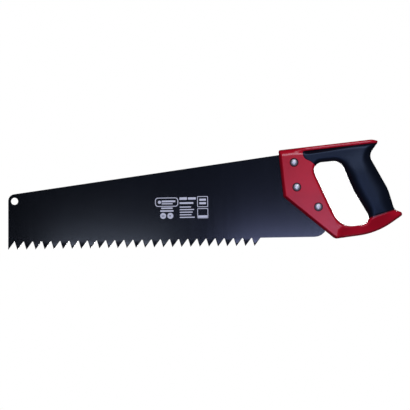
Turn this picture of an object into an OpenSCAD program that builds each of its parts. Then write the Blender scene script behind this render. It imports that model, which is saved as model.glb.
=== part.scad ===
// Handsaw for building board: coarse set teeth, closed two-material handle.
// The saw hangs in the XZ plane: toe towards -X, teeth towards -Z, thickness along Y.
// The origin is the centre of the hand grip, on the blade's middle plane.

/* [Blade] */
// Length along the tooth line, toe to heel
blade_length = 450; // [410:5:650]
// Plate thickness
blade_t = 1.3; // [0.9:0.1:1.6]
// Height of the sharp toe corner above the tooth tips, before rounding
toe_height = 77.7; // [60:0.1:85]
// Height of the back where the blade enters the handle, above the tooth tips
back_height = 128.4; // [120:0.1:129]
// Lean of the toe edge away from square, in degrees
toe_lean = 1; // [0:0.5:4]
// Radius of the toe's top corner
toe_corner_r = 9.5; // [6:0.5:12]
// Diameter of the hanging hole
hang_hole_d = 10; // [6:0.5:11]
// Radius of the heel corner under the handle
heel_r = 18; // [8:1:20]

/* [Teeth] */
// Number of teeth
tooth_count = 28; // [16:1:28]
// Distance from tip to tip
tooth_pitch = 12.92; // [11:0.01:13]
// Depth from the tips to the bottoms of the rounded gullets
tooth_depth = 11.4; // [8:0.1:11.6]
// Angle of the steep flank, which faces the toe, from square
steep_angle = 16.5; // [10:0.5:20]
// Radius at the bottom of each gullet
gullet_r = 0.8; // [0.4:0.1:1.2]
// How far each tip is bent sideways
tooth_set = 0.45; // [0.1:0.05:0.8]
// Height above the tips where the bend starts
bend_height = 7; // [5:0.5:8]

/* [Handle] */
// Thickness over the two cheeks
cheek_t = 23; // [20:0.5:25]
// Radius along the top of the rail
rail_r = 10; // [6:0.5:10]
// Width of the chamfer on the cheeks' front edge
front_chamfer = 4; // [2:0.5:5]
// Width of the chamfer on the cheeks' diagonal edge
diagonal_chamfer = 2.5; // [1:0.5:4]
// Depth of both chamfers into the cheek
chamfer_depth = 5; // [1:0.5:6]
// Play of the blade in its slot, over both faces
slot_play = 0.2; // [0.1:0.05:0.4]

/* [Grip] */
// Thickness of the grip at its fullest
grip_t = 31; // [28:0.5:34]
// Depth of the grip's oval, front to back
grip_depth = 44; // [42:0.5:46]
// Lean of the grip from upright, in degrees
grip_lean = 26; // [24:0.5:28]
// Thickness of the soft skin on the edges of the bar
skin_t = 3.2; // [2:0.1:4]
// Thickness of the hard bar inside the grip
bar_t = 18; // [14:0.5:20]
// Thickness of the soft skin's upper arm
arm_t = 24; // [23:0.5:26]
// Diameter of the anchor holes that lock the skin to the bar
anchor_d = 8; // [5:0.5:9]
// Spacing of the anchor holes along the grip
anchor_pitch = 24; // [16:1:26]

/* [Screws] */
// Shank diameter
screw_d = 5; // [4:0.5:5]
// Head diameter
screw_head_d = 9.5; // [8:0.5:10]
// Head height
screw_head_h = 3.4; // [2.6:0.1:3.6]
// Diameter of the counterbores
recess_d = 12; // [10.5:0.5:12]
// Depth of the counterbores
recess_h = 4; // [3.6:0.1:5]
// Outer diameter of the sleeve nuts' barrels
sleeve_d = 7; // [6.6:0.1:8]
// Diameter of the sleeve nuts' heads
nut_head_d = 10; // [9:0.5:10]
// Height of the sleeve nuts' heads
nut_head_h = 2.6; // [2:0.1:3.4]

/* [Hidden] */
$fn = 64;

blade_colour = [0.09, 0.10, 0.14];
core_colour = [0.70, 0.10, 0.16];
skin_colour = [0.08, 0.10, 0.13];
zinc_colour = [0.80, 0.81, 0.83];

arc_step = 8;         // degrees between the points of a rounded corner
clear = 1;            // how far a cutting shape passes the face it opens
plate_span = 60;      // thicker than any part of the saw

// The blade hangs from the handle: the heel ends this far in front of the grip centre.
heel_setback = 68;
tip_drop = 73.5;      // tooth tips below the grip centre
toe_x = -blade_length - heel_setback;
bend_z = bend_height - tip_drop;
heel_inset = 4;       // sharp heel corner, in front of the blade's end
back_inset = 3;       // end of the blade's back, behind the front of the cheeks
back_corner_r = 2;
hang_hole_inset = 10.2;   // hole centre, behind the toe
hang_hole_drop = 8.9;     // hole centre, below the sharp toe corner

// Teeth: the flanks meet in a sharp point that the gullet radius then rounds.
sharp_depth = (tooth_depth - gullet_r)
    + gullet_r * (1 / sin((steep_angle + atan(tooth_pitch / tooth_depth - tan(steep_angle))) / 2));
steep_run = sharp_depth * tan(steep_angle);
slant_run = tooth_pitch - steep_run;

// Screw places, from the grip centre: [x, z].
upper_screw_at = [-111.3, 43.7];
middle_screw_at = [-108, 8.7];
lower_screw_at = [-77.8, -19.8];
screw_places = [upper_screw_at, middle_screw_at, lower_screw_at];

// Outlines are corners [x, z, radius] in the blade's plane, from the grip centre.
handle_corners = [
    [-133.5, 61.3, 3],       // front of the cheek, top
    [0, 74.6, 20],           // end of the rail
    [9.05, 72.05, 2.2],      // upper horn
    [-5.3, 52.2, 13],        // web of the hand
    [21.1, 4.3, 60],         // palm
    [29.7, -25.1, 8],        // root of the lower horn
    [44.6, -30.9, 3.5],      // lower horn
    [4.3, -58.1, 105],       // belly of the bow
    [-55, -65.4, 8],         // bottom of the cheek
    [-127.1, -4.9, 2.5],     // front of the cheek, bottom
];
opening_corners = [
    [-89, 42.1, 12],
    [-44.6, 45.6, 16],
    [-27.2, 2.6, 200],       // swell of the grip
    [-0.4, -44.6, 11],
    [-47.2, -49.6, 27],
];
// The soft skin's patch: its free sides pass outside the handle and into the opening.
skin_corners = [
    [-99.2, 59.4, 1.5],
    [-98.4, 48, 6],
    [-88.6, 45.6, 8],
    [-76, 34, 0],
    [-30, -20, 0],
    [-18, -38.6, 0],
    [-2, -34.4, 60],
    [31, -24.2, 20],
    [48, -14, 0],
    [30, 74, 0],
];
tang_rear_top = [-103.6, 53.5, 4];
tang_rear_low = [-61, -38.5, 6];
// Where the slot's rear edge and its open front pass outside the handle.
slot_foot = [-66, -80, 0];
slot_mouth_x = -200;
grip_oval_at = -1.2;  // centre of the grip's oval, across the grip from the origin
arm_reach = 10;       // how far the arm's slab reaches down past the top of the opening

half_recess_y = cheek_t / 2 - recess_h;   // where each head sits, from the blade's middle plane
shank_stop = 0.8;                         // how far short of the nut's head the screw stops
shank_end_y = half_recess_y - shank_stop;
head_root = 0.5;                          // how far shanks and barrels reach into their heads
thread_run_out = 0.2;                     // bore left past the end of the shank
sleeve_gap = 0.1;                         // sleeve to plastic, on the radius
thread_gap = 0.05;                        // shank to sleeve, on the radius
blade_hole_gap = 0.3;                     // shank to blade, on the radius
slot_end_gap = 0.4;                       // tang to the closed end of its slot
cross_l = 5.6;                            // cross recess, tip to tip
cross_w = 1.1;                            // width of one arm
cross_h = 1.6;                            // depth of the cross
dome_r = 8;                               // radius of the domed heads

function unit(v) = v / norm(v);
function turned(v, angle) = [v.x * cos(angle) - v.y * sin(angle), v.x * sin(angle) + v.y * cos(angle)];
function flat(c) = [c.x, c.y];

// The arc that rounds corner c with radius c[2], between its neighbours a and b.
function corner_arc(a, c, b) =
    let (p = flat(c),
         u = unit(flat(a) - p),
         v = unit(flat(b) - p),
         half = acos(u * v) / 2,
         centre = p + unit(u + v) * c[2] / sin(half),
         start = p + u * c[2] / tan(half) - centre,
         turn = (180 - 2 * half) * (u.x * v.y > u.y * v.x ? -1 : 1),
         steps = max(2, ceil(abs(turn) / arc_step)))
    [for (i = [0 : steps]) centre + turned(start, turn * i / steps)];

function rounded(corners) =
    let (n = len(corners))
    [for (i = [0 : n - 1])
        each corners[i][2] > 0
            ? corner_arc(corners[(i + n - 1) % n], corners[i], corners[(i + 1) % n])
            : [flat(corners[i])]];

// A 2D outline in [x, z] as a plate of thickness t about the blade's middle plane.
module plate(t) {
    rotate([90, 0, 0])
        linear_extrude(t, center = true)
            children();
}

// Places a shape that is turned about +Z at [x, z], so that it is turned about -Y (front) or +Y (back).
module on_front(at) {
    translate([at.x, 0, at.y]) rotate([90, 0, 0]) children();
}
module on_back(at) {
    translate([at.x, 0, at.y]) rotate([-90, 0, 0]) children();
}

// ---- Blade ----

function tooth_tip_x(i) = toe_x + i * tooth_pitch;

// From the toe to the heel: a tip, then the gullet behind it.
function tooth_line() = [
    for (i = [0 : tooth_count - 1])
        each [
            [tooth_tip_x(i), -tip_drop, 0],
            i < tooth_count - 1
                ? [tooth_tip_x(i) + slant_run, sharp_depth - tip_drop, gullet_r]
                : [tooth_tip_x(i) + slant_run * tooth_depth / sharp_depth, tooth_depth - tip_drop, 0],
        ]
];

function blade_corners() = concat(
    tooth_line(),
    [
        [toe_x + blade_length - heel_inset, tooth_depth - tip_drop, heel_r],
        tang_rear_low,
        tang_rear_top,
        [handle_corners[0].x + back_inset, back_height - tip_drop, back_corner_r],
        [toe_x + toe_height * tan(toe_lean), toe_height - tip_drop, toe_corner_r],
    ]
);

module blade_outline() {
    polygon(rounded(blade_corners()));
}

// A slab along the whole tooth line whose lower edge is bent to one side, as a set tooth is.
module bent_slab(side) {
    foot = side * tooth_set * (bend_height + clear) / bend_height;
    half = blade_t / 2;
    low = -tip_drop - clear;
    translate([toe_x - clear, 0, 0])
        rotate([90, 0, 90])
            linear_extrude(tooth_count * tooth_pitch + 2 * clear)
                polygon([
                    [-half, bend_z], [-half + foot, low],
                    [half + foot, low], [half, bend_z],
                ]);
}

// Every second tooth, below the bend.
module alternate_teeth(first) {
    intersection() {
        blade_outline();
        for (i = [first : 2 : tooth_count - 1])
            translate([tooth_tip_x(i) - steep_run, -tip_drop - clear])
                square([tooth_pitch, bend_height + clear]);
    }
}

module blade() {
    hang_hole_at = [toe_x + hang_hole_inset, toe_height - hang_hole_drop - tip_drop];
    color(blade_colour)
        difference() {
            union() {
                plate(blade_t)
                    intersection() {
                        blade_outline();
                        translate([toe_x - clear, bend_z])
                            square([blade_length + plate_span, 2 * back_height]);
                    }
                for (side = [-1, 1])
                    intersection() {
                        plate(plate_span) alternate_teeth(side < 0 ? 0 : 1);
                        bent_slab(side);
                    }
            }
            on_front(hang_hole_at)
                cylinder(h = plate_span, d = hang_hole_d, center = true);
            for (at = screw_places)
                on_front(at)
                    cylinder(h = plate_span, r = screw_d / 2 + blade_hole_gap, center = true);
        }
}

// ---- Handle core ----

module closed_handle() {
    difference() {
        polygon(rounded(handle_corners));
        polygon(rounded(opening_corners));
    }
}

// A shape turned about the line from a to b: its x runs across the handle and its y away from the solid.
module along_edge(a, b) {
    run = flat(b) - flat(a);
    translate([a.x, 0, a.y])
        rotate([0, -atan2(run.y, run.x), 0])
            translate([-norm(run) / 2, 0, 0])
                rotate([90, 0, 90])
                    linear_extrude(2 * norm(run))
                        children();
}

// The waste outside the rail's rounded top.
module rail_rounding() {
    edge = cheek_t / 2;
    along_edge(handle_corners[0], handle_corners[1])
        for (side = [-1, 1])
            polygon(concat(
                [for (angle = [0 : arc_step : 90])
                    [side * (edge - rail_r + rail_r * cos(angle)), rail_r * sin(angle) - rail_r]],
                [[side * (edge - rail_r), clear], [side * (edge + clear), clear], [side * (edge + clear), -rail_r]]
            ));
}

// Takes the edge from a to b off both cheeks.
module edge_chamfer(a, b, width) {
    along_edge(a, b)
        for (side = [-1, 1])
            translate([side * cheek_t / 2, 0])
                polygon([
                    [side * clear, -width * (1 + clear / chamfer_depth)],
                    [side * clear, clear],
                    [-side * chamfer_depth * (1 + clear / width), clear],
                ]);
}

// The tang's slot, open along the front and diagonal edges of the cheeks.
module tang_slot() {
    slot_top = back_height - tip_drop + slot_end_gap;
    plate(blade_t + slot_play)
        polygon(rounded([
            [tang_rear_top.x + slot_end_gap, slot_top, tang_rear_top[2]],
            [tang_rear_low.x + slot_end_gap, tang_rear_low.y, tang_rear_low[2]],
            slot_foot,
            [slot_mouth_x, slot_foot.y, 0],
            [slot_mouth_x, slot_top, 0],
        ]));
}

// The hard bar that runs all round inside the handle and shows only where the skin has its anchor holes.
module inner_bar() {
    difference() {
        plate(bar_t)
            offset(delta = -skin_t)
                closed_handle();
        for (i = [-1 : 1])
            rotate([0, -grip_lean, 0])
                translate([0, 0, i * anchor_pitch])
                    rotate([90, 0, 0])
                        cylinder(h = plate_span, d = anchor_d, center = true);
    }
}

module screw_bores() {
    for (at = screw_places) {
        on_front(at) {
            cylinder(h = cheek_t, r = screw_d / 2 + sleeve_gap);
            translate([0, 0, half_recess_y]) cylinder(h = cheek_t, d = recess_d);
        }
        on_back(at) {
            cylinder(h = cheek_t, r = sleeve_d / 2 + sleeve_gap);
            translate([0, 0, half_recess_y]) cylinder(h = cheek_t, d = recess_d);
        }
    }
}

module handle_core() {
    cheek_top = handle_corners[0];
    cheek_low = handle_corners[9];
    cheek_bottom = handle_corners[8];
    color(core_colour)
        difference() {
            union() {
                plate(cheek_t)
                    difference() {
                        closed_handle();
                        polygon(rounded(skin_corners));
                    }
                inner_bar();
            }
            rail_rounding();
            tang_slot();
            screw_bores();
            edge_chamfer(cheek_low, cheek_top, front_chamfer);
            edge_chamfer(cheek_bottom, cheek_low, diagonal_chamfer);
        }
}

// ---- Soft grip ----

// The grip's oval, as a bar along its lean.
module grip_oval() {
    round_r = grip_t / 2;
    rotate([0, -grip_lean, 0])
        linear_extrude(4 * tip_drop, center = true)
            translate([grip_oval_at, 0]) {
                for (side = [-1, 1])
                    translate([side * (grip_depth / 2 - round_r), 0]) circle(round_r);
                square([grip_depth - grip_t, grip_t], center = true);
            }
}

// The upper arm, from the cheek over the opening to the horn.
module arm_slab() {
    arm_low = opening_corners[0].y - arm_reach;
    translate([-2 * plate_span, -arm_t / 2, arm_low])
        cube([4 * plate_span, arm_t, plate_span]);
}

module grip_overmould() {
    color(skin_colour)
        difference() {
            intersection() {
                plate(plate_span)
                    intersection() {
                        closed_handle();
                        polygon(rounded(skin_corners));
                    }
                union() {
                    grip_oval();
                    arm_slab();
                }
            }
            inner_bar();
        }
}

// ---- Fasteners ----

// A domed head of diameter d and height h that stands on z = 0, with a cross recess.
module domed_head(d, h) {
    difference() {
        intersection() {
            cylinder(h = h, d = d);
            translate([0, 0, h - dome_r]) sphere(dome_r);
        }
        for (angle = [0, 90])
            rotate([0, 0, angle])
                translate([-cross_l / 2, -cross_w / 2, h - cross_h])
                    cube([cross_l, cross_w, cross_h + clear]);
    }
}

module screw(at) {
    color(zinc_colour)
        on_front(at) {
            translate([0, 0, half_recess_y]) domed_head(screw_head_d, screw_head_h);
            translate([0, 0, -shank_end_y])
                cylinder(h = shank_end_y + half_recess_y + head_root, d = screw_d);
        }
}

module sleeve_nut(at) {
    barrel_from = blade_t / 2 + slot_play;
    color(zinc_colour)
        on_back(at)
            difference() {
                union() {
                    translate([0, 0, half_recess_y]) domed_head(nut_head_d, nut_head_h);
                    translate([0, 0, barrel_from])
                        cylinder(h = half_recess_y - barrel_from + head_root, d = sleeve_d);
                }
                translate([0, 0, -clear])
                    cylinder(h = shank_end_y + clear + thread_run_out, r = screw_d / 2 + thread_gap);
            }
}

blade();
handle_core();
grip_overmould();
screw(upper_screw_at);  // upper_screw
screw(middle_screw_at);  // middle_screw
screw(lower_screw_at);  // lower_screw
sleeve_nut(upper_screw_at);  // upper_sleeve_nut
sleeve_nut(middle_screw_at);  // middle_sleeve_nut
sleeve_nut(lower_screw_at);  // lower_sleeve_nut
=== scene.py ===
import math

import bmesh
import bpy
import numpy as np
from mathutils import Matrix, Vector
from mathutils.geometry import delaunay_2d_cdt


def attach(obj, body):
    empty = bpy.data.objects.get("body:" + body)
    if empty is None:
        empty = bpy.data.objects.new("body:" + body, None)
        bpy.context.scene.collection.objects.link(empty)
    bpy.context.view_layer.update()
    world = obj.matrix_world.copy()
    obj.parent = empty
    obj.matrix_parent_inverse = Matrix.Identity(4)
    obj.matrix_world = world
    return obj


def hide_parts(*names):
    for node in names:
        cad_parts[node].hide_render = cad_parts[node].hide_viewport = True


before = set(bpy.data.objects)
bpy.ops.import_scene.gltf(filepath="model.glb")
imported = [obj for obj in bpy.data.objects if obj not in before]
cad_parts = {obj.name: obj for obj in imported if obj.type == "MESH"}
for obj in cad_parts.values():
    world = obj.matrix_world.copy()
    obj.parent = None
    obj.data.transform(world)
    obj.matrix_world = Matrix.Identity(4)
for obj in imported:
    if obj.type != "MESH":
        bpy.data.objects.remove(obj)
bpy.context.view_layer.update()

# Lengths in the tables below are millimetres in the CAD frame; meshes are written in metres.
MM = 0.001

# ---------------------------------------------------------------- driving dimensions

BLADE_LENGTH = 450.0
BLADE_T = 1.3
TOE_X = -518.0
TIP_DROP = 73.5
TOE_HEIGHT = 77.7
BACK_HEIGHT = 128.4
TOE_CORNER_R = 9.5
TOE_LEAN = math.radians(1)
HEEL_R = 18.0
HEEL_INSET = 4.0         # the sharp heel corner, in front of the blade's end
BACK_END_X = -130.5      # where the back runs into the handle
TANG = [[-61, -38.5, 6], [-103.6, 53.5, 4]]
HANG_HOLE = (-507.8, -4.7)
HANG_HOLE_R = 5.0
HOLE_EASE = (0.6, 0.25)  # width and depth of the eased edge round the hanging hole

TOOTH_COUNT = 28
TOOTH_PITCH = 12.92
TOOTH_DEPTH = 11.4
STEEP_ANGLE = math.radians(16.5)
GULLET_R = 0.8
TOOTH_SET = 0.45
BEND_HEIGHT = 7.0
BEVEL_W = 1.7            # width of the ground bevels near the tips
BEVEL_FADE = 0.86        # share of each flank that its bevel runs along
TIP_T = 0.3              # thickness left at the tips

CHEEK_HALF = 11.5        # cheek surface, from the blade's middle plane
GRIP_SWELL = 3.45        # how much fuller the grip is than the cheeks
SKIN_PROUD = 0.5         # how far the soft skin stands above the hard core
RAIL_R = 10.0            # rounding of the cheek towards the rail
RAIL_HALF = 1.5          # half thickness left at the rail's edge, over the cheek
BEAD_R = 2.8             # half-round bead of the rail, over the soft skin
BEAD_DROP = 3.4          # how far the groove under the bead lies below the cheeks
SHOULDER_R = 5.5         # rounding of the arm down to that groove
PALM_R = (10.0, 19.0)    # rounding of the palm's edge, at its ends and along the grip
PALM_FLAT = 0.08         # share of the thickness left at that edge
BOW_ROUND = (3.0, 0.5)   # radius at the bow's lower edge, and the share left there
BOW_LEAN = 0.46          # slope of the bow's faces towards its lower edge
# Radius at the opening's edge and the share left there: on the cheek, the arm, the bow and the grip.
OPENING_ROUND = [(3.0, 0.15), (7.0, 0.25), (1.6, 0.72), (13.0, 0.05)]
FRONT_CHAMFER = (4.2, 8.0)     # width and depth of the edge that falls away to the blade
DIAGONAL_CHAMFER = (4.0, 8.0)
CHAMFER_CURVE = 1.5      # how they curve: 1 is straight, more is steeper near the edge
THINNEST = 0.6           # least half thickness of bow and skin
GRIP_AXIS = np.array([-math.sin(math.radians(26)), math.cos(math.radians(26))])
GRIP_ACROSS = np.array([math.cos(math.radians(26)), math.sin(math.radians(26))])

# Outlines as corners [x, z, radius].
HANDLE = [
    [-133.5, 61.3, 3], [0, 74.6, 20], [9.05, 72.05, 2.2], [-5.3, 52.2, 13], [21.1, 4.3, 60],
    [29.7, -25.1, 8], [44.6, -30.9, 3.5], [4.3, -58.1, 105], [-55, -65.4, 8], [-127.1, -4.9, 2.5],
]
OPENING = [[-89, 42.1, 12], [-44.6, 45.6, 16], [-27.2, 2.6, 200], [-0.4, -44.6, 11], [-47.2, -49.6, 27]]
RAIL_FRONT, HEEL_TIP, BOW_FOOT, FRONT_FOOT = (HANDLE[k][:2] for k in (0, 6, 8, 9))
RAIL_END = (8.2, 70.6)
# Where the bow's faces start to lean.
BOW_TOP = np.array([[-75, -46], [-47, -47], [-14, -45], [4, -36], [44, -23]])
# The soft skin's free edges: under the rail, down the cheek, and over the bow.
RAIL_SEAM = [[-99.0, 59.5], [8.6, 69.9]]
CHEEK_SEAM = [[-99.0, 59.5], [-98.9, 56.5], [-98.2, 52.6], [-96.4, 49.4], [-93.4, 47.3], [-88.6, 45.4],
              [-84.3, 42.0], [-80.7, 38.3]]
BOW_SEAM = [[30.6, -24.3], [27.0, -25.5], [20.0, -27.8], [12.8, -30.1], [4.0, -32.6], [-3.3, -34.6],
            [-7.2, -36.0]]
# The groove over the skin, at the arm's front and past its taper: floor width, wall width and depth.
GROOVE_FRONT = (1.6, 3.8, 3.0)
GROOVE_REAR = (0.3, 2.2, 0.4)
GROOVE_START = (-97.5, -92)
GROOVE_TAPER = (-86, -22)

SCREWS = {"upper": (-111.3, 43.7), "middle": (-108.0, 8.7), "lower": (-77.8, -19.8)}
RECESS_R = 6.0
RECESS_H = 4.0
RECESS_LEAD = 0.35       # lead-in at the recess's mouth


# ---------------------------------------------------------------- plane geometry

def unit(v):
    return v / np.linalg.norm(v)


def turned(v, angle):
    c, s = math.cos(angle), math.sin(angle)
    return np.array([v[0] * c - v[1] * s, v[0] * s + v[1] * c])


def refined(points, step, closed=True):
    """The same line with no stretch longer than step."""
    ends = points[1:] + points[:1] if closed else points[1:]
    line = []
    for a, b in zip(points, ends):
        count = max(1, math.ceil(np.linalg.norm(b - a) / step))
        line += [a + (b - a) * k / count for k in range(count)]
    return np.array(line if closed else line + [points[-1]])


def outline(corners, step=2.0, turn_step=9.0):
    """A closed outline of corners [x, z, radius] as a dense line of points."""
    flat = [np.array(c[:2], float) for c in corners]
    points = []
    for i, (_, _, radius) in enumerate(corners):
        corner = flat[i]
        if radius == 0:
            points.append(corner)
            continue
        back = unit(flat[i - 1] - corner)
        ahead = unit(flat[(i + 1) % len(flat)] - corner)
        half = math.acos(back @ ahead) / 2
        centre = corner + unit(back + ahead) * radius / math.sin(half)
        start = corner + back * radius / math.tan(half) - centre
        turn = (math.pi - 2 * half) * (-1 if back[0] * ahead[1] > back[1] * ahead[0] else 1)
        by_turn = math.ceil(abs(turn) / math.radians(turn_step))
        by_length = math.ceil(abs(turn) * radius / step)
        steps = max(2, by_turn, by_length)
        points += [centre + turned(start, turn * k / steps) for k in range(steps + 1)]
    return refined(points, step)


def nearest(line, place):
    return int(np.argmin(((line - np.array(place)) ** 2).sum(-1)))


def stretch(line, start, end):
    """The part of a closed line from the point nearest start to the point nearest end."""
    a, b = nearest(line, start), nearest(line, end)
    return line[a:b + 1] if a <= b else np.concatenate([line[a:], line[:b + 1]])


def lengths(line):
    return np.concatenate([[0], np.cumsum(np.linalg.norm(np.diff(line, axis=0), axis=1))])


def sample(line, marks):
    """Points at those distances along a line."""
    run = lengths(line)
    return np.stack([np.interp(marks, run, line[:, k]) for k in (0, 1)], -1)


def distance_to(points, line):
    start, run = line[:-1], np.diff(line, axis=0)
    from_start = points.reshape(-1, 1, 2) - start
    along = np.clip((from_start * run).sum(-1) / (run ** 2).sum(-1), 0, 1)
    gap = from_start - along[..., None] * run
    return np.sqrt((gap ** 2).sum(-1).min(-1)).reshape(points.shape[:-1])


def inside(points, loop):
    """Whether each point lies in a closed loop."""
    x, z = points[..., 0, None], points[..., 1, None]
    ax, az = loop[:, 0], loop[:, 1]
    bx, bz = np.roll(ax, -1), np.roll(az, -1)
    crosses = (az > z) != (bz > z)
    rise_x = ax + (z - az) * (bx - ax) / np.where(bz == az, 1e-9, bz - az)
    return (crosses & (x < rise_x)).sum(-1) % 2 == 1


def smooth(value, low, high):
    t = np.clip((value - low) / (high - low), 0, 1)
    return t * t * (3 - 2 * t)


def mix(a, b, t):
    return a + (b - a) * t


def quarter_round(distance, radius):
    """Height of a quarter round, 0 to 1, at a distance in from its edge."""
    return np.sqrt(1 - np.clip(1 - distance / radius, 0, 1) ** 2)


# ---------------------------------------------------------------- meshes

def add_object(name, verts, faces, material, smooth_angle=35.0):
    """A mesh piece from points in millimetres."""
    mesh = bpy.data.meshes.new(name)
    mesh.from_pydata([Vector(v) * MM for v in verts], [], faces)
    bm = bmesh.new()
    bm.from_mesh(mesh)
    bmesh.ops.remove_doubles(bm, verts=bm.verts, dist=1e-7)
    bmesh.ops.recalc_face_normals(bm, faces=bm.faces)
    bm.to_mesh(mesh)
    bm.free()
    piece = bpy.data.objects.new(name, mesh)
    bpy.context.scene.collection.objects.link(piece)
    mesh.materials.append(material)
    shade(mesh, smooth_angle)
    return piece


def shade(mesh, angle):
    mesh.polygons.foreach_set("use_smooth", [True] * len(mesh.polygons))
    mesh.set_sharp_from_angle(angle=math.radians(angle))
    mesh.update()


def relaxed(grid, ring, rounds=400):
    """Evens out the inner points of a grid whose edges stay put."""
    for _ in range(rounds):
        if ring:
            beside = np.roll(grid, 1, 0)[:, 1:-1] + np.roll(grid, -1, 0)[:, 1:-1]
            grid[:, 1:-1] = (beside + grid[:, :-2] + grid[:, 2:]) / 4
        else:
            beside = grid[:-2, 1:-1] + grid[2:, 1:-1]
            grid[1:-1, 1:-1] = (beside + grid[1:-1, :-2] + grid[1:-1, 2:]) / 4
    return grid


def two_sided(grid, height, ring):
    """Closed solid over a grid [station, row]: a front and a back sheet joined round the edge."""
    stations, rows = height.shape
    x, z = grid[..., 0].ravel(), grid[..., 1].ravel()
    y = height.ravel()
    verts = list(zip(x, -y, z)) + list(zip(x, y, z))
    back = stations * rows
    faces = []
    last = stations if ring else stations - 1
    for i in range(last):
        n = (i + 1) % stations
        for j in range(rows - 1):
            a, b, c, d = i * rows + j, n * rows + j, n * rows + j + 1, i * rows + j + 1
            faces += [(a, b, c, d), (back + d, back + c, back + b, back + a)]
        for a, b in ((i * rows, n * rows), (n * rows + rows - 1, i * rows + rows - 1)):
            faces.append((b, a, back + a, back + b))
    if not ring:
        for j in range(rows - 1):
            end = (stations - 1) * rows
            for a, b in ((j + 1, j), (end + j, end + j + 1)):
                faces.append((b, a, back + a, back + b))
    return verts, faces


def matched(outer, inner, pairs):
    """Places on the inner line for each outer point, in proportion between the given pairs."""
    outer_run, inner_run = lengths(outer), lengths(inner)
    outer_marks = [outer_run[nearest(outer, a)] for a, _ in pairs]
    inner_marks = [inner_run[nearest(inner, b)] for _, b in pairs]
    outer_marks = [0] + outer_marks + [outer_run[-1]]
    inner_marks = [0] + inner_marks + [inner_run[-1]]
    return sample(inner, np.interp(outer_run, outer_marks, inner_marks))


def opened(line, place):
    """A closed line that starts and ends at the point nearest place."""
    k = nearest(line, place)
    return np.concatenate([line[k:], line[:k + 1]])


# ---------------------------------------------------------------- handle surface

handle_line = outline(HANDLE, step=1.6)
opening_line = outline(OPENING, step=1.2)
rail_edge = stretch(handle_line, RAIL_FRONT, RAIL_END)
palm_edge = stretch(handle_line, RAIL_END, HEEL_TIP)
bow_edge = stretch(handle_line, HEEL_TIP, BOW_FOOT)
diagonal_edge = stretch(handle_line, BOW_FOOT, FRONT_FOOT)
front_edge = stretch(handle_line, FRONT_FOOT, RAIL_FRONT)
opening_edge = np.concatenate([opening_line, opening_line[:1]])
rail_seam = np.array(RAIL_SEAM)
cheek_seam = refined([np.array(p) for p in CHEEK_SEAM], 1.0, closed=False)
bow_seam = refined([np.array(p) for p in BOW_SEAM], 1.0, closed=False)


def grip_share(p):
    """1 in the full part of the grip, 0 on the cheeks, the arm and the bow."""
    up, across = p @ GRIP_AXIS, p @ GRIP_ACROSS
    return smooth(up, -50, -12) * (1 - smooth(up, 30, 68)) * smooth(across, -42, -24)


def arm_share(p):
    """1 along the arm over the opening."""
    return smooth(p[..., 0], -94, -74) * smooth(p[..., 1], 35, 43)


def bow_share(p):
    """1 along the bow under the opening."""
    return smooth(p[..., 0], -52, -43) * (1 - smooth(p[..., 1] - 0.4 * p[..., 0], -40, -24))


def rail_share(p):
    """1 along the rail's bead, 0 over the cheek."""
    return smooth(p[..., 0], -114, -93)


def edge_share(distance, radius, flat_share):
    """How much of the full height is left near an edge that keeps flat_share of it."""
    return 1 - (1 - flat_share) * (1 - quarter_round(distance, radius))


def by_region(values, shares):
    """Blends the cheek's value with those of the arm, the bow and the grip by their shares."""
    value = values[0]
    for region_value, share in zip(values[1:], shares):
        value = mix(value, region_value, share)
    return value


def handle_height(p):
    """Half thickness of the handle over each point [x, z]."""
    grip, arm, bow = grip_share(p), arm_share(p), bow_share(p)
    full = CHEEK_HALF + GRIP_SWELL * grip
    opening_r, opening_flat = (by_region(values, (arm, bow, grip)) for values in zip(*OPENING_ROUND))
    from_rail = distance_to(p, rail_edge)
    plain = full * edge_share(from_rail, RAIL_R, RAIL_HALF / CHEEK_HALF)
    across_bead = np.clip(np.abs(from_rail - BEAD_R) / BEAD_R, 0, 1)
    bead = CHEEK_HALF - BEAD_DROP + BEAD_R * np.sqrt(1 - across_bead ** 2)
    shoulder_drop = full - CHEEK_HALF + BEAD_DROP
    shoulder = full - shoulder_drop * (1 - quarter_round(from_rail - 2 * BEAD_R, SHOULDER_R))
    beaded = np.where(from_rail < 2 * BEAD_R, bead, shoulder)
    height = mix(plain, beaded, rail_share(p))
    height *= edge_share(distance_to(p, palm_edge), mix(*PALM_R, grip), PALM_FLAT)
    height *= edge_share(distance_to(p, bow_edge), *BOW_ROUND)
    height *= edge_share(distance_to(p, opening_edge), opening_r, opening_flat)
    under_top = np.clip(np.interp(p[..., 0], *BOW_TOP.T) - p[..., 1], 0, None)
    height = np.maximum(height - bow * BOW_LEAN * under_top, THINNEST)
    for edge, (width, depth) in ((front_edge, FRONT_CHAMFER), (diagonal_edge, DIAGONAL_CHAMFER)):
        fall = np.clip(1 - distance_to(p, edge) / width, 0, 1) ** CHAMFER_CURVE
        height = np.minimum(height, full - depth * fall)
    return height


def skin_loop():
    palm = stretch(handle_line, RAIL_SEAM[1], BOW_SEAM[0])
    opening = stretch(opening_line, CHEEK_SEAM[-1], BOW_SEAM[-1])
    return np.concatenate([cheek_seam[::-1], rail_seam[1:], palm, bow_seam, opening[::-1]])


skin_edge = skin_loop()


# How the core hides under the skin, in millimetres.
PROBE = 0.6              # how far in from the outline the skin is looked for
SINK = (1.5, 3.2)        # how far its outline draws in, at a seam and away from it
SINK_RAMP = 6.0          # distance from a seam over which it reaches full depth
SEAM_BED = 1.5           # width along a seam where the skin lies on the core
CORE_DIP = 5.0           # how far its faces lie under the skin's
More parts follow.
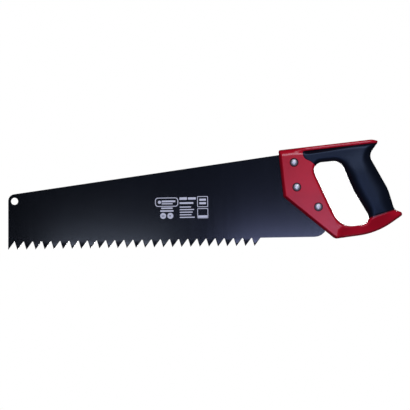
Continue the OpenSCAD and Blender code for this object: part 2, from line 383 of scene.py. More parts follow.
# Points of the handle's outer edge, and the points of the opening's edge that rows join to them.
CORE_PAIRS = [
    ((-99, 64), (-80, 42)), ((-50, 69), (-62, 47)), ((8, 71), (-47, 48)), ((-4, 56), (-41, 40)),
    ((22, 0), (-20, -10)), ((30, -22), (-9, -33)), ((40, -30), (-6, -40)), ((10, -56), (-14, -45.5)),
    ((-50, -64), (-46, -42)), ((-90, -36), (-64, -14)), ((-127, -5), (-74, 10)), ((-130, 28), (-82, 26)),
]
OPENING_START = (-84.6, 36.0)
FRONT_ROWS = np.array([0, 0.2, 0.4, 0.6, 0.8, 1, 1.15, 1.4])   # in chamfer widths
FRONT_GAP = 0.1          # from the last of these rows to the next one
ROW_GAP = 0.06           # the same elsewhere; at a seam it straddles the seam
CORE_THINNEST = 0.5
# Widths of the close rows at a plain outer edge and at the opening, and the most of a ray they take up.
OUTER_ROWS_W = 5.3
INNER_ROWS_W = 7.0
ROWS_SHARE = 0.35
LEAST_LEAN = 0.4


def sunk(line, deep):
    """Draws the core's outline in by SINK under the skin, so that only the skin shows there."""
    closed = np.concatenate([line[-1:], line, line[:1]])
    normal = np.stack([closed[2:, 1] - closed[:-2, 1], closed[:-2, 0] - closed[2:, 0]], -1)
    normal /= np.linalg.norm(normal, axis=1, keepdims=True)
    probe = line + normal * PROBE * deep
    covered = inside(probe, skin_edge)
    clearance = np.minimum(distance_to(line, cheek_seam), distance_to(line, bow_seam))
    clearance = np.minimum(clearance, distance_to(line, rail_seam))
    depth = np.where(covered, mix(*SINK, smooth(clearance, 0, SINK_RAMP)), 0)
    return line + normal * (deep * depth)[:, None]


def core_height(p):
    covered = inside(p, skin_edge)
    from_cheek = distance_to(p, cheek_seam)
    from_bow = distance_to(p, bow_seam)
    dip = CORE_DIP * smooth(np.minimum(from_cheek, from_bow), SEAM_BED, SINK_RAMP)
    return handle_height(p) - np.where(covered, dip, 0)


def crossing(ray, seam, margin=1.5):
    """Distance along a ray where it crosses the straight seam, past a margin at its start, or None."""
    a, b = seam
    along = unit(b - a)
    across = np.array([-along[1], along[0]])
    side = (ray - a) @ across
    run = lengths(ray)
    for k in range(len(ray) - 1):
        if side[k] > 0 >= side[k + 1]:
            t = side[k] / (side[k] - side[k + 1])
            place = ray[k] + (ray[k + 1] - ray[k]) * t
            if margin < (place - a) @ along < np.linalg.norm(b - a):
                return run[k] + (run[k + 1] - run[k]) * t
    return None


def edge_rows(ray, outer_loop):
    """Distances along a ray of the rows that shape the core's outer edge, and of the row after them."""
    seam = crossing(ray, rail_seam)
    reach = 2.5     # how far in the ray's lean is measured
    squareness = distance_to(sample(ray, np.array([reach])), outer_loop)[0] / reach
    lean = max(LEAST_LEAN, float(squareness))
    from_front, from_diagonal = (distance_to(ray[:1], edge)[0] for edge in (front_edge, diagonal_edge))
    if seam is None and min(from_front, from_diagonal) < 0.5:
        width = (FRONT_CHAMFER if from_front < 0.5 else DIAGONAL_CHAMFER)[0]
        near = FRONT_ROWS * width / lean
        return near, near[-1] + FRONT_GAP
    last = seam - ROW_GAP / 2 if seam else min(OUTER_ROWS_W / lean, ROWS_SHARE * lengths(ray)[-1])
    return last * (1 - np.cos(np.linspace(0, 1, 8) * math.pi)) / 2, last + ROW_GAP


def core_piece(material):
    outer = opened(sunk(handle_line, 1), RAIL_FRONT)
    inner = opened(sunk(opening_line, -1), OPENING_START)
    inner = matched(outer, inner, CORE_PAIRS)
    outer, inner = outer[:-1], inner[:-1]
    outer_loop = np.concatenate([outer, outer[:1]])
    share = np.linspace(0, 1, 25)[None, :, None]
    grid = relaxed(mix(outer[:, None], inner[:, None], share), ring=True)
    inner_angles = np.linspace(1, 0, 7) * math.pi / 2
    rows = []
    for ray in grid:
        total = lengths(ray)[-1]
        near, step = edge_rows(ray, outer_loop)
        inner_width = min(INNER_ROWS_W, ROWS_SHARE * total)
        far = total - inner_width * (1 - np.cos(inner_angles))
        middle = np.linspace(step, far[0], 14)[:-1]
        rows.append(sample(ray, np.concatenate([near, middle, far])))
    grid = np.array(rows)
    verts, faces = two_sided(grid, np.maximum(core_height(grid), CORE_THINNEST), ring=True)
    piece = add_object("handle_shell", verts, faces, material)
    for place in SCREWS.values():
        for side in (-1, 1):
            bore(piece, place, side)
    shade(piece.data, 35)
    return piece


def turned_profile(profile, place, side, segments=64):
    """Closed solid of points [radius, height off the blade's plane] turned about a line along Y."""
    verts = []
    for radius, height in profile:
        for k in range(segments):
            angle = 2 * math.pi * k / segments
            x, z = place[0] + radius * math.cos(angle), place[1] + radius * math.sin(angle)
            verts.append((x, side * height, z))
    faces = []
    for j in range(len(profile) - 1):
        low, high = j * segments, (j + 1) * segments
        for k in range(segments):
            n = (k + 1) % segments
            faces.append((low + k, low + n, high + n, high + k))
    faces.append(tuple(range(segments)))
    faces.append(tuple(range((len(profile) - 1) * segments, len(profile) * segments)))
    return verts, faces


def bore(piece, place, side):
    """Sinks one counterbore with a small lead-in."""
    floor = CHEEK_HALF - RECESS_H
    ease = 0.15
    mouth_r = RECESS_R + RECESS_LEAD
    profile = [(RECESS_R - ease, floor), (RECESS_R, floor + ease), (RECESS_R, CHEEK_HALF - RECESS_LEAD),
               (mouth_r, CHEEK_HALF), (mouth_r, CHEEK_HALF + 2)]
    verts, faces = turned_profile(profile, place, side)
    cutter = add_object("cutter", verts, faces, piece.data.materials[0])
    cut(piece, cutter)


def cut(piece, cutter):
    modifier = piece.modifiers.new("cut", "BOOLEAN")
    modifier.operation = "DIFFERENCE"
    modifier.solver = "EXACT"
    modifier.object = cutter
    bpy.context.view_layer.update()
    evaluated = piece.evaluated_get(bpy.context.evaluated_depsgraph_get())
    mesh = bpy.data.meshes.new_from_object(evaluated)
    piece.modifiers.clear()
    old = piece.data
    piece.data = mesh
    mesh.name = piece.name
    bpy.data.meshes.remove(old)
    bpy.data.objects.remove(cutter)


# ---------------------------------------------------------------- soft skin

# Points of the skin's outer edge, and the points of its inner edge that rows join to them.
SKIN_PAIRS = [
    ((-50, 64.2), (-62, 44.4)), ((8, 70), (-46, 43.2)), ((-3, 56), (-40, 35)), ((17, 12), (-24, 4)),
]
SKIN_INSET = 0.9         # how far the skin's edge draws back from the lower opening
SKIN_EDGE_R = 0.9
SEAM_RUN_ON = [40, 3.87]     # how far the seam's line goes on in front of the skin
END_MARKS = np.array([0, 0.25, 0.6, 1.0])   # close rows of points at the skin's free ends
SKIN_OUTER_SHARE = 0.45  # shares of a ray that the close rows at its two ends take up
SKIN_INNER_SHARE = 0.4


def skin_height(p):
    seam_line = np.array([rail_seam[0] - SEAM_RUN_ON, rail_seam[1]])
    from_rail = distance_to(p, seam_line)
    x = p[..., 0]
    front = 1 - smooth(x, *GROOVE_TAPER)
    floor_w, wall_w, depth = (mix(rear, full, front) for rear, full in zip(GROOVE_REAR, GROOVE_FRONT))
    groove = smooth(x, *GROOVE_START) * depth * (1 - smooth(from_rail, floor_w, floor_w + wall_w))
    from_end = np.minimum(distance_to(p, cheek_seam), distance_to(p, bow_seam))
    return handle_height(p) + SKIN_PROUD * quarter_round(from_end, SKIN_EDGE_R) - groove


def skin_piece(material):
    outer = np.concatenate([refined(list(rail_seam), 1.5, closed=False),
                            stretch(handle_line, RAIL_SEAM[1], BOW_SEAM[0])[1:-1], bow_seam[:1]])
    opening = stretch(opening_line, CHEEK_SEAM[-1], BOW_SEAM[-1])
    opening = np.concatenate([cheek_seam[-1:], opening[1:-1], bow_seam[-1:]])
    slope = np.gradient(opening, axis=0)
    normal = np.stack([-slope[:, 1], slope[:, 0]], -1)
    normal /= np.linalg.norm(normal, axis=1, keepdims=True)
    inset = SKIN_INSET * smooth(-opening[:, 1], -10, 25)
    inner = opening + normal * inset[:, None]
    end = lengths(outer)[-1]
    marks = np.concatenate([END_MARKS, np.arange(2.0, end - 1.6, 1.4), end - END_MARKS[::-1]])
    outer_dense = sample(outer, marks)
    inner_dense = matched(outer_dense, inner, SKIN_PAIRS)
    count = 29
    first = sample(cheek_seam, np.linspace(0, lengths(cheek_seam)[-1], count))
    last = sample(bow_seam, np.linspace(0, lengths(bow_seam)[-1], count))
    s = np.linspace(0, 1, count)[None, :, None]
    t = (marks / marks[-1])[:, None, None]
    corners = mix(mix(outer_dense[0], inner_dense[0], s), mix(outer_dense[-1], inner_dense[-1], s), t)
    grid = mix(outer_dense[:, None], inner_dense[:, None], s) + mix(first[None], last[None], t) - corners
    grid = relaxed(grid, ring=False, rounds=150)
    outer_angles = np.linspace(0, 1, 13) * math.pi / 2
    inner_angles = np.linspace(1, 0, 9) * math.pi / 2
    rows = []
    for ray in grid:
        total = lengths(ray)[-1]
        near = SKIN_OUTER_SHARE * total * (1 - np.cos(outer_angles))
        far = total - SKIN_INNER_SHARE * total * (1 - np.cos(inner_angles))
        middle = np.linspace(near[-1], far[0], 6)[1:-1]
        rows.append(sample(ray, np.concatenate([near, middle, far])))
    grid = np.array(rows)
    verts, faces = two_sided(grid, np.maximum(skin_height(grid), THINNEST), ring=False)
    return add_object("grip_skin", verts, faces, material, 40)


# ---------------------------------------------------------------- blade

SLANT_ANGLE = math.atan(TOOTH_PITCH / TOOTH_DEPTH - math.tan(STEEP_ANGLE))
# Depth of a gullet's sharp corner, before rounding.
SHARP_DEPTH = (TOOTH_DEPTH - GULLET_R) + GULLET_R / math.sin((STEEP_ANGLE + SLANT_ANGLE) / 2)
STEEP_RUN = SHARP_DEPTH * math.tan(STEEP_ANGLE)
SLANT_RUN = TOOTH_PITCH - STEEP_RUN
# A grid of split lines keeps the plate's triangles compact.
SPLIT_ROWS = np.arange(-55, 50, 13.0)
SPLIT_COLUMNS = 34
SPLIT_X = (TOE_X - 5, -58)
SPLIT_Z = (-56, 60)


def tooth_points(i):
    """Tip of tooth i, and the sharp corners of the gullets before and behind it."""
    tip = np.array([TOE_X + i * TOOTH_PITCH, -TIP_DROP])
    before = tip + [-STEEP_RUN, SHARP_DEPTH]
    behind = tip + [SLANT_RUN, SHARP_DEPTH]
    return tip, before, behind


def blade_corners():
    corners = []
    for i in range(TOOTH_COUNT):
        tip, _, behind = tooth_points(i)
        corners.append([*tip, 0])
        if i < TOOTH_COUNT - 1:
            corners.append([*behind, GULLET_R])
        else:
            end = tip + (behind - tip) * TOOTH_DEPTH / SHARP_DEPTH
            corners.append([*end, 0])
    return corners + [
        [TOE_X + BLADE_LENGTH - HEEL_INSET, TOOTH_DEPTH - TIP_DROP, HEEL_R],
        *TANG,
        [BACK_END_X, BACK_HEIGHT - TIP_DROP, 2],
        [TOE_X + TOE_HEIGHT * math.tan(TOE_LEAN), TOE_HEIGHT - TIP_DROP, TOE_CORNER_R],
    ]


def bevel_triangles():
    """For each tooth the two ground facets, as triangles [end at the gullet, tip, inner point]."""
    facets = []
    for i in range(TOOTH_COUNT):
        tip, before, behind = tooth_points(i)
        up_steep, up_slant = unit(before - tip), unit(behind - tip)
        half = math.acos(up_steep @ up_slant) / 2
        middle = tip + unit(up_steep + up_slant) * BEVEL_W / math.sin(half)
        ends = [tip + (behind - tip) * BEVEL_FADE]
        if i > 0:
            ends.append(tip + (before - tip) * BEVEL_FADE)
        facets += [(i, end, tip, middle) for end in ends]
    return facets


def facet_share(p, facets, parity):
    """1 at the tips of every second tooth, falling to 0 at the inner edges of its facets."""
    share = np.zeros(len(p))
    for i, end, tip, middle in facets:
        if i % 2 != parity:
            continue
        base = np.array([end - middle, tip - middle]).T
        weights = np.linalg.solve(base, (p - middle).T).T
        hit = (weights[:, 0] >= -1e-4) & (weights[:, 1] >= -1e-4) & (weights.sum(1) <= 1 + 1e-4)
        share = np.where(hit, np.maximum(share, np.clip(weights[:, 1], 0, 1)), share)
    return share


def circle(centre, radius, count):
    angles = np.arange(count) * 2 * math.pi / count
    return np.array(centre) + radius * np.stack([np.cos(angles), np.sin(angles)], -1)


def flat_mesh(loops, lines=()):
    """Triangles that fill the loops (a loop inside another is a hole), split along the extra lines."""
    points, edges = [], []
    for loop in loops:
        first = len(points)
        points += [tuple(p) for p in loop]
        edges += [(first + k, first + (k + 1) % len(loop)) for k in range(len(loop))]
    for line in lines:
        first = len(points)
        points += [tuple(p) for p in line]
        edges += [(first + k, first + k + 1) for k in range(len(line) - 1)]
    result = delaunay_2d_cdt([Vector(p) for p in points], edges, [], 0, 1e-4)
    flat = np.array([tuple(v) for v in result[0]])
    triangles = np.array([list(f) for f in result[2]])
    centres = flat[triangles].mean(1)
    keep = sum(inside(centres, np.array(loop)).astype(int) for loop in loops) % 2 == 1
    used, triangles = np.unique(triangles[keep], return_inverse=True)
    return flat[used], triangles.reshape(-1, 3)


def thickened(flat, triangles, front, back):
    """Closed solid between two heights over a flat mesh."""
    count = len(flat)
    verts = [(p[0], y, p[1]) for p, y in zip(flat, front)]
    verts += [(p[0], y, p[1]) for p, y in zip(flat, back)]
    faces, border = [], {}
    for a, b, c in triangles.tolist():
        faces += [(a, b, c), (count + c, count + b, count + a)]
        for edge in ((a, b), (b, c), (c, a)):
            key = tuple(sorted(edge))
            border[key] = None if key in border else edge
    faces += [(edge[1], edge[0], count + edge[0], count + edge[1]) for edge in border.values() if edge]
    return verts, faces


def blade_piece(material):
    shape = outline(blade_corners(), step=6.0, turn_step=18)
    hole = circle(HANG_HOLE, HANG_HOLE_R, 48)
    ease_w, ease_depth = HOLE_EASE
    hole_rim = circle(HANG_HOLE, HANG_HOLE_R + ease_w, 48)
    facets = bevel_triangles()
    bend_z = BEND_HEIGHT - TIP_DROP
    lines = [np.array([[TOE_X - 5, bend_z], [TOE_X + BLADE_LENGTH, bend_z]])]
    lines += [np.array([end, middle, tip]) for _, end, tip, middle in facets]
    lines.append(np.concatenate([hole_rim, hole_rim[:1]]))
    for z in SPLIT_ROWS:
        lines.append(np.array([[x, z] for x in SPLIT_X]))
    for i in range(SPLIT_COLUMNS):
        x = TOE_X + (i + 0.5) * TOOTH_PITCH
        lines.append(np.array([[x, z] for z in SPLIT_Z]))
    flat, triangles = flat_mesh([shape, hole], lines)
    tooth = np.clip(np.floor((flat[:, 0] - TOE_X + STEEP_RUN) / TOOTH_PITCH), 0, TOOTH_COUNT - 1)
    side = np.where(tooth % 2 == 0, -1, 1)
    bent = side * TOOTH_SET * np.clip(bend_z - flat[:, 1], 0, None) / BEND_HEIGHT
    half = BLADE_T / 2
    from_hole = np.linalg.norm(flat - HANG_HOLE, axis=1) - HANG_HOLE_R
    eased = ease_depth * np.clip(1 - from_hole / ease_w, 0, 1)
    ground = BLADE_T - TIP_T
    front = -half + bent + ground * facet_share(flat, facets, 1) + eased
    back = half + bent - ground * facet_share(flat, facets, 0) - eased
    verts, faces = thickened(flat, triangles, front, back)
    return add_object("saw_blade", verts, faces, material, 12)


# ---------------------------------------------------------------- print

def box_loop(x0, x1, z0, z1, radius):
    corners = [[x0, z1, radius], [x1, z1, radius], [x1, z0, radius], [x0, z0, radius]]
    return outline(corners, step=3.0, turn_step=22)


PRINT_Y = (-BLADE_T / 2 - 0.05, -BLADE_T / 2 + 0.02)
BADGE_X = -309.0         # left edges of the three groups of marks
COLUMN_X = -274.3
PANEL_X = -249.3
PANEL_W = 15.3
PANEL_LINE = 0.9
COLUMN_ROWS = (16.2, 20.4, 18.4, 16.7, 21.2)    # lengths of the column's thin rows
COLUMN_STEP = 3.65
DISC_R = 4.2


def print_piece(name, shapes, material):
    """Thin printed areas on the blade's front face; each shape is a list of loops."""
    verts, faces = [], []
    for loops in shapes:
        flat, triangles = flat_mesh(loops)
        top = np.full(len(flat), PRINT_Y[0])
        low = np.full(len(flat), PRINT_Y[1])
        v, f = thickened(flat, triangles, top, low)
        faces += [tuple(k + len(verts) for k in face) for face in f]
        verts += v
    return add_object(name, verts, faces, material)


def framed(x0, x1, z0, z1, radius, line):
    return [box_loop(x0, x1, z0, z1, radius),
            box_loop(x0 + line, x1 - line, z0 + line, z1 - line, max(radius - line, 0.2))]


def bar(x0, x1, z, height):
    return [box_loop(x0, x1, z - height / 2, z + height / 2, min(0.45, height / 3))]


def badge_shapes():
    """A framed badge with two lines under it and two discs."""
    x = BADGE_X
    left_disc, right_disc = (x + 11.2, -28.9), (x + 21.4, -28.9)
    return [
        framed(x, x + 32.9, -16.0, -3.0, 4.4, 1.15),
        bar(x + 9.4, x + 28.8, -8.4, 2.6),
        bar(x + 9.4, x + 25.0, -11.8, 1.6),
        [circle((x + 6.3, -9.5), 2.3, 32)],
        bar(x + 8.5, x + 24.8, -18.1, 2.0),
        bar(x + 7.2, x + 26.0, -22.0, 2.2),
        [circle(left_disc, DISC_R, 40), box_loop(x + 9.2, x + 13.2, -29.5, -28.6, 0.4)],
        [circle(right_disc, DISC_R, 40), circle((x + 21.0, -29.0), 1.0, 20)],
    ]


def column_shapes():
    """A column of bars that get thinner downwards."""
    x = COLUMN_X
    thick = [
        bar(x, x + 10.6, -4.8, 3.6),
        bar(x + 12.0, x + 23.2, -4.8, 3.2),
        bar(x, x + 19.5, -11.2, 2.5),
    ]
    thin = [bar(x, x + width, -16.8 - COLUMN_STEP * k, 1.5) for k, width in enumerate(COLUMN_ROWS)]
    return thick + thin


def panel_shapes():
    """Two framed panels, one with two bars and one with a filled foot."""
    x = PANEL_X
    end = x + PANEL_W
    return [
        framed(x, end, -17.2, -1.9, 1.2, PANEL_LINE),
        bar(x + 3, x + 12.5, -6.8, 2.9),
        bar(x + 3, x + 12.5, -11.8, 2.9),
        framed(x, end, -33.2, -18.9, 1.2, PANEL_LINE),
        bar(x + 0.5, end - 0.5, -30.9, 3.8),
    ]


def print_pieces(material):
    return [print_piece("print_badge", badge_shapes(), material),
            print_piece("print_column", column_shapes(), material),
            print_piece("print_frames", panel_shapes(), material)]


# ---------------------------------------------------------------- materials

# Painted shade: a dark red painted into the screws' recesses and below the skin's lower seam, where
# shadow falls.
PAINTED_SHADE_COLOUR = (0.05, 0.004, 0.006, 1)
PAINTED_SHADE_START = 0.4        # distance from the skin's lower seam at which the painted shade starts to fade
SEAM_SHADE_W = 2.8


def new_material(name):
    material = bpy.data.materials.new(name)
    material.use_nodes = True
    nodes = material.node_tree.nodes
    return material, nodes, material.node_tree.links, nodes["Principled BSDF"]


def texture(nodes, links, kind, scale, detail=4.0, stretch_by=(1, 1, 1), roughness=0.5):
    """A noise-like texture in the saw's own frame, in metres."""
    place = nodes.new("ShaderNodeTexCoord")
    mapping = nodes.new("ShaderNodeMapping")
    mapping.inputs["Scale"].default_value = stretch_by
    links.new(place.outputs["Object"], mapping.inputs["Vector"])
    node = nodes.new(kind)
    links.new(mapping.outputs["Vector"], node.inputs["Vector"])
    node.inputs["Scale"].default_value = scale
    if "Detail" in node.inputs:
        node.inputs["Detail"].default_value = detail
    if "Roughness" in node.inputs:
        node.inputs["Roughness"].default_value = roughness
    return node


def ramp(nodes, links, source, stops):
    node = nodes.new("ShaderNodeValToRGB")
    elements = node.color_ramp.elements
    while len(elements) < len(stops):
        elements.new(0.5)
    for element, (place, colour) in zip(elements, stops):
        element.position = place
        element.color = (*colour, 1)
    links.new(source, node.inputs["Fac"])
    return node


def level(nodes, links, source, low, high):
    """A value of 0 to 1 spread over low to high."""
    node = nodes.new("ShaderNodeMapRange")
    node.inputs["To Min"].default_value = low
    node.inputs["To Max"].default_value = high
    links.new(source, node.inputs["Value"])
    return node.outputs["Result"]


def share_of(nodes, links, source, start, end):
    """0 where the value is at start, 1 where it is at end."""
    node = nodes.new("ShaderNodeMapRange")
    node.inputs["From Min"].default_value = start
    node.inputs["From Max"].default_value = end
    links.new(source, node.inputs["Value"])
    return node.outputs["Result"]


def maths(nodes, links, operation, first, second=None):
    """One step of arithmetic on a socket, with a second socket or number."""
    node = nodes.new("ShaderNodeMath")
    node.operation = operation
    links.new(first, node.inputs[0])
    if isinstance(second, float):
        node.inputs[1].default_value = second
    elif second is not None:
        links.new(second, node.inputs[1])
    return node.outputs["Value"]


def vector_maths(nodes, links, operation, source, vector):
    node = nodes.new("ShaderNodeVectorMath")
    node.operation = operation
    links.new(source, node.inputs[0])
    node.inputs[1].default_value = vector
    return node.outputs


def bump(nodes, links, sources, shader):
    """Stacks bumps: each source is (height socket, depth in metres)."""
    last = None
    for height, depth in sources:
        node = nodes.new("ShaderNodeBump")
        node.inputs["Strength"].default_value = 1.0
        node.inputs["Distance"].default_value = depth
        links.new(height, node.inputs["Height"])
        if last:
            links.new(last.outputs["Normal"], node.inputs["Normal"])
        last = node
    links.new(last.outputs["Normal"], shader.inputs["Normal"])


def coating():
    material, nodes, links, shader = new_material("blade_coating")
    cloud = texture(nodes, links, "ShaderNodeTexNoise", 14, 3)
    grain = texture(nodes, links, "ShaderNodeTexNoise", 900, 2)
    drawn = texture(nodes, links, "ShaderNodeTexNoise", 30, 3, (6, 1, 0.35))
    colour = ramp(nodes, links, cloud.outputs["Fac"],
                  [(0.3, (0.0030, 0.0046, 0.0085)), (0.7, (0.0042, 0.0064, 0.0115))])
    links.new(colour.outputs["Color"], shader.inputs["Base Color"])
    links.new(level(nodes, links, drawn.outputs["Fac"], 0.125, 0.175), shader.inputs["Roughness"])
    shader.inputs["Specular IOR Level"].default_value = 0.5
    bump(nodes, links, [(grain.outputs["Fac"], 0.000004), (drawn.outputs["Fac"], 0.00001)], shader)
    return material


def with_painted_shade(nodes, links, colour):
    """Paints shade into a colour: darkens it in the screws' recesses and below the skin's lower seam,
    where shadow falls.
    """
    place = nodes.new("ShaderNodeTexCoord").outputs["Object"]
    flat = vector_maths(nodes, links, "MULTIPLY", place, (1, 0, 1))["Vector"]
    gaps = [vector_maths(nodes, links, "DISTANCE", flat, (x * MM, 0, z * MM))["Value"]
            for x, z in SCREWS.values()]
    nearest_screw = gaps[0]
    for gap in gaps[1:]:
        nearest_screw = maths(nodes, links, "MINIMUM", nearest_screw, gap)
    off_screws = share_of(nodes, links, nearest_screw, (RECESS_R - 0.1) * MM, (RECESS_R + 0.5) * MM)

    seam_start, seam_end = np.array(BOW_SEAM[0]), np.array(BOW_SEAM[-1])
    across = turned(unit(seam_end - seam_start), math.pi / 2)
    drop = vector_maths(nodes, links, "DOT_PRODUCT", place, (across[0], 0, across[1]))["Value"]
    from_seam = maths(nodes, links, "SUBTRACT", drop, float(seam_start @ across) * MM)
    from_seam = maths(nodes, links, "ABSOLUTE", from_seam)
    off_seam = share_of(nodes, links, from_seam, PAINTED_SHADE_START * MM, SEAM_SHADE_W * MM)
    split = nodes.new("ShaderNodeSeparateXYZ")
    links.new(place, split.inputs["Vector"])
    on_cheek = share_of(nodes, links, split.outputs["X"], (seam_end[0] - 1) * MM, (seam_end[0] - 8) * MM)
    off_seam = maths(nodes, links, "MAXIMUM", off_seam, on_cheek)

    mixed = nodes.new("ShaderNodeMix")
    mixed.data_type = "RGBA"
    mixed.inputs["A"].default_value = PAINTED_SHADE_COLOUR
    links.new(maths(nodes, links, "MULTIPLY", off_screws, off_seam), mixed.inputs["Factor"])
    links.new(colour, mixed.inputs["B"])
    return mixed.outputs["Result"]


def red_plastic():
    material, nodes, links, shader = new_material("handle_plastic")
    cloud = texture(nodes, links, "ShaderNodeTexNoise", 28, 4)
    grain = texture(nodes, links, "ShaderNodeTexNoise", 1400, 2)
    scuff = texture(nodes, links, "ShaderNodeTexNoise", 60, 6, (1, 1, 3), 0.7)
    colour = ramp(nodes, links, cloud.outputs["Fac"],
                  [(0.3, (0.52, 0.0040, 0.018)), (0.7, (0.66, 0.0056, 0.026))])
    # The red's colour carries painted shade in the screws' recesses and below the skin's lower seam.
    links.new(with_painted_shade(nodes, links, colour.outputs["Color"]), shader.inputs["Base Color"])
    links.new(level(nodes, links, scuff.outputs["Fac"], 0.25, 0.33), shader.inputs["Roughness"])
    shader.inputs["Specular IOR Level"].default_value = 0.36
    bump(nodes, links, [(grain.outputs["Fac"], 0.00002), (scuff.outputs["Fac"], 0.00001)], shader)
    return material


def soft_rubber():
    material, nodes, links, shader = new_material("grip_rubber")
    cloud = texture(nodes, links, "ShaderNodeTexNoise", 24, 4)
    grain = texture(nodes, links, "ShaderNodeTexVoronoi", 1500)
    colour = ramp(nodes, links, cloud.outputs["Fac"],
                  [(0.3, (0.0030, 0.0044, 0.0085)), (0.7, (0.0042, 0.0060, 0.0115))])
    links.new(colour.outputs["Color"], shader.inputs["Base Color"])
    links.new(level(nodes, links, cloud.outputs["Fac"], 0.38, 0.48), shader.inputs["Roughness"])
    shader.inputs["Specular IOR Level"].default_value = 0.34
    shader.inputs["Specular Tint"].default_value = (0.5, 0.68, 1.0, 1)
    bump(nodes, links, [(grain.outputs["Distance"], 0.00003)], shader)
    return material


def zinc():
    material, nodes, links, shader = new_material("zinc")
    pits = texture(nodes, links, "ShaderNodeTexNoise", 700, 5)
    cloud = texture(nodes, links, "ShaderNodeTexNoise", 260, 3)
    colour = ramp(nodes, links, cloud.outputs["Fac"],
                  [(0.3, (0.56, 0.57, 0.58)), (0.7, (0.82, 0.83, 0.84))])
    links.new(colour.outputs["Color"], shader.inputs["Base Color"])
    shader.inputs["Metallic"].default_value = 1.0
    links.new(level(nodes, links, pits.outputs["Fac"], 0.40, 0.62), shader.inputs["Roughness"])
    bump(nodes, links, [(pits.outputs["Fac"], 0.00002)], shader)
    return material


def print_ink():
    material, nodes, links, shader = new_material("blade_print")
    speck = texture(nodes, links, "ShaderNodeTexNoise", 900, 4)
    colour = ramp(nodes, links, speck.outputs["Fac"],
                  [(0.35, (0.88, 0.91, 0.95)), (0.65, (0.96, 0.97, 0.98))])
    links.new(colour.outputs["Color"], shader.inputs["Base Color"])
    links.new(level(nodes, links, speck.outputs["Fac"], 0.5, 0.65), shader.inputs["Roughness"])
    bump(nodes, links, [(speck.outputs["Fac"], 0.00001)], shader)
    return material


# ---------------------------------------------------------------- assembly

blade_coating = coating()
handle_plastic = red_plastic()
grip_rubber = soft_rubber()
zinc_plate = zinc()
ink = print_ink()

core = core_piece(handle_plastic)
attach(core, "root")
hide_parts("handle_core")

skin = skin_piece(grip_rubber)
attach(skin, "root")
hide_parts("grip_overmould")

blade = blade_piece(blade_coating)
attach(blade, "root")
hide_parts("blade")

for printed in print_pieces(ink):
    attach(printed, "root")

for name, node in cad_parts.items():
    if name.endswith(("_screw", "_sleeve_nut")):
        node.data.materials.clear()
        node.data.materials.append(zinc_plate)

# ---------------------------------------------------------------- studio

FLOOR_Z = -0.42
FLOOR_HALF = 4.0
AIM = Vector((-0.2383, 0, -0.0144))    # the point in the middle of the view
VIEW_WIDTH = 0.5806      # width of the view at that point
CAMERA_DISTANCE = 12.0
CAMERA_ROLL = math.radians(0.95)
LIGHT_SPREAD = 60        # degrees, so that little of the light falls on the floor
WASH_LIFT = 0.05         # height above the floor of the light that only the floor gets
# Name, place, target, size, watts and colour of each soft light on the saw.
SOFT_LIGHTS = [
    ("key_box", (-0.02, -1.03, 0.60), (-0.06, 0, 0), (0.4, 0.4), 0.94, (0.85, 0.84, 1.0)),
    ("heel_card", (-0.09, -0.9, -0.205), (-0.09, 0, -0.095), (0.22, 0.28), 0.15, (0.47, 0.54, 1.0)),
    ("toe_card", (-0.385, -0.9, -0.205), (-0.385, 0, -0.095), (0.18, 0.28), 0.058, (0.66, 0.76, 1.0)),
    ("grip_card", (0.05, -0.9, -0.12), (0.02, 0, -0.02), (0.08, 0.2), 0.05, (0.7, 0.78, 1.0)),
    ("under_strip", (-0.06, -0.06, -0.40), (-0.06, 0, 0), (0.7, 0.1), 0.02, (0.8, 0.8, 1.0)),
    ("side_box", (0.93, -0.17, 0.0), (-0.06, 0, 0), (0.5, 0.5), 0.03, (0.6, 0.6, 1.0)),
    ("back_box", (-0.2, 1.6, 0.0), (-0.2, 0, 0), (1.0, 0.3), 3.0, (1, 1, 1)),
]


def area_light(name, place, target, size, power, colour=(1, 1, 1), spread=LIGHT_SPREAD):
    light = bpy.data.lights.new(name, "AREA")
    light.shape = "RECTANGLE"
    light.size, light.size_y = size
    light.energy = power
    light.color = colour
    light.spread = math.radians(spread)
    lamp = bpy.data.objects.new(name, light)
    lamp.location = place
    lamp.rotation_mode = "QUATERNION"
    lamp.rotation_quaternion = (Vector(target) - Vector(place)).to_track_quat("-Z", "Y")
    lamp.visible_camera = False
    bpy.context.scene.collection.objects.link(lamp)


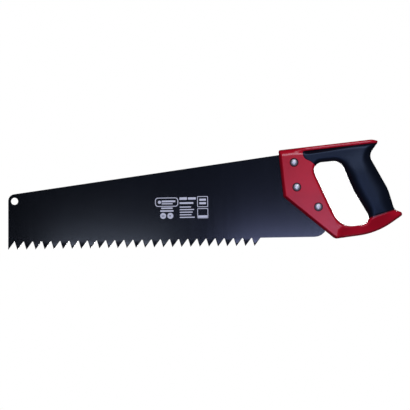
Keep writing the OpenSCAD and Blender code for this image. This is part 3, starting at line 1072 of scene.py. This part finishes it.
def make_floor():
    """A pale floor that throws no light back on the saw."""
    mesh = bpy.data.meshes.new("floor")
    signs = ((-1, -1), (1, -1), (1, 1), (-1, 1))
    corners = [(x * FLOOR_HALF, y * FLOOR_HALF, FLOOR_Z) for x, y in signs]
    mesh.from_pydata(corners, [], [(0, 1, 2, 3)])
    floor = bpy.data.objects.new("floor", mesh)
    bpy.context.scene.collection.objects.link(floor)
    material, _, _, shader = new_material("floor")
    shader.inputs["Base Color"].default_value = (0.86, 0.86, 0.86, 1)
    shader.inputs["Roughness"].default_value = 0.9
    mesh.materials.append(material)
    floor.visible_diffuse = False
    floor.visible_glossy = False


def make_world():
    """White to the camera, and a dimmer surround for light and reflections."""
    world = bpy.data.worlds.new("studio")
    bpy.context.scene.world = world
    world.use_nodes = True
    nodes, links = world.node_tree.nodes, world.node_tree.links
    nodes.clear()
    seen = nodes.new("ShaderNodeBackground")
    seen.inputs["Color"].default_value = (1, 1, 1, 1)
    seen.inputs["Strength"].default_value = 1.0
    around = nodes.new("ShaderNodeBackground")
    around.inputs["Color"].default_value = (0.80, 0.86, 1.0, 1)
    around.inputs["Strength"].default_value = 0.045
    path = nodes.new("ShaderNodeLightPath")
    choose = nodes.new("ShaderNodeMixShader")
    out = nodes.new("ShaderNodeOutputWorld")
    links.new(path.outputs["Is Camera Ray"], choose.inputs["Fac"])
    links.new(around.outputs["Background"], choose.inputs[1])
    links.new(seen.outputs["Background"], choose.inputs[2])
    links.new(choose.outputs["Shader"], out.inputs["Surface"])


def make_camera():
    camera = bpy.data.cameras.new("camera")
    camera.sensor_width = 36
    camera.lens = camera.sensor_width * CAMERA_DISTANCE / VIEW_WIDTH
    camera.clip_start, camera.clip_end = 0.1, 60
    holder = bpy.data.objects.new("camera", camera)
    holder.location = AIM + Vector((0, -CAMERA_DISTANCE, 0))
    holder.rotation_euler = (math.radians(90), CAMERA_ROLL, 0)
    bpy.context.scene.collection.objects.link(holder)
    bpy.context.scene.camera = holder


make_floor()
make_world()
make_camera()
for soft_light in SOFT_LIGHTS:
    area_light(*soft_light)
floor_size = (2 * FLOOR_HALF, 2 * FLOOR_HALF)
area_light("floor_wash", (0, 0, FLOOR_Z + WASH_LIFT), (0, 0, FLOOR_Z), floor_size, 170, spread=180)

scene = bpy.context.scene
scene.view_settings.view_transform = "Standard"
scene.view_settings.look = "None"
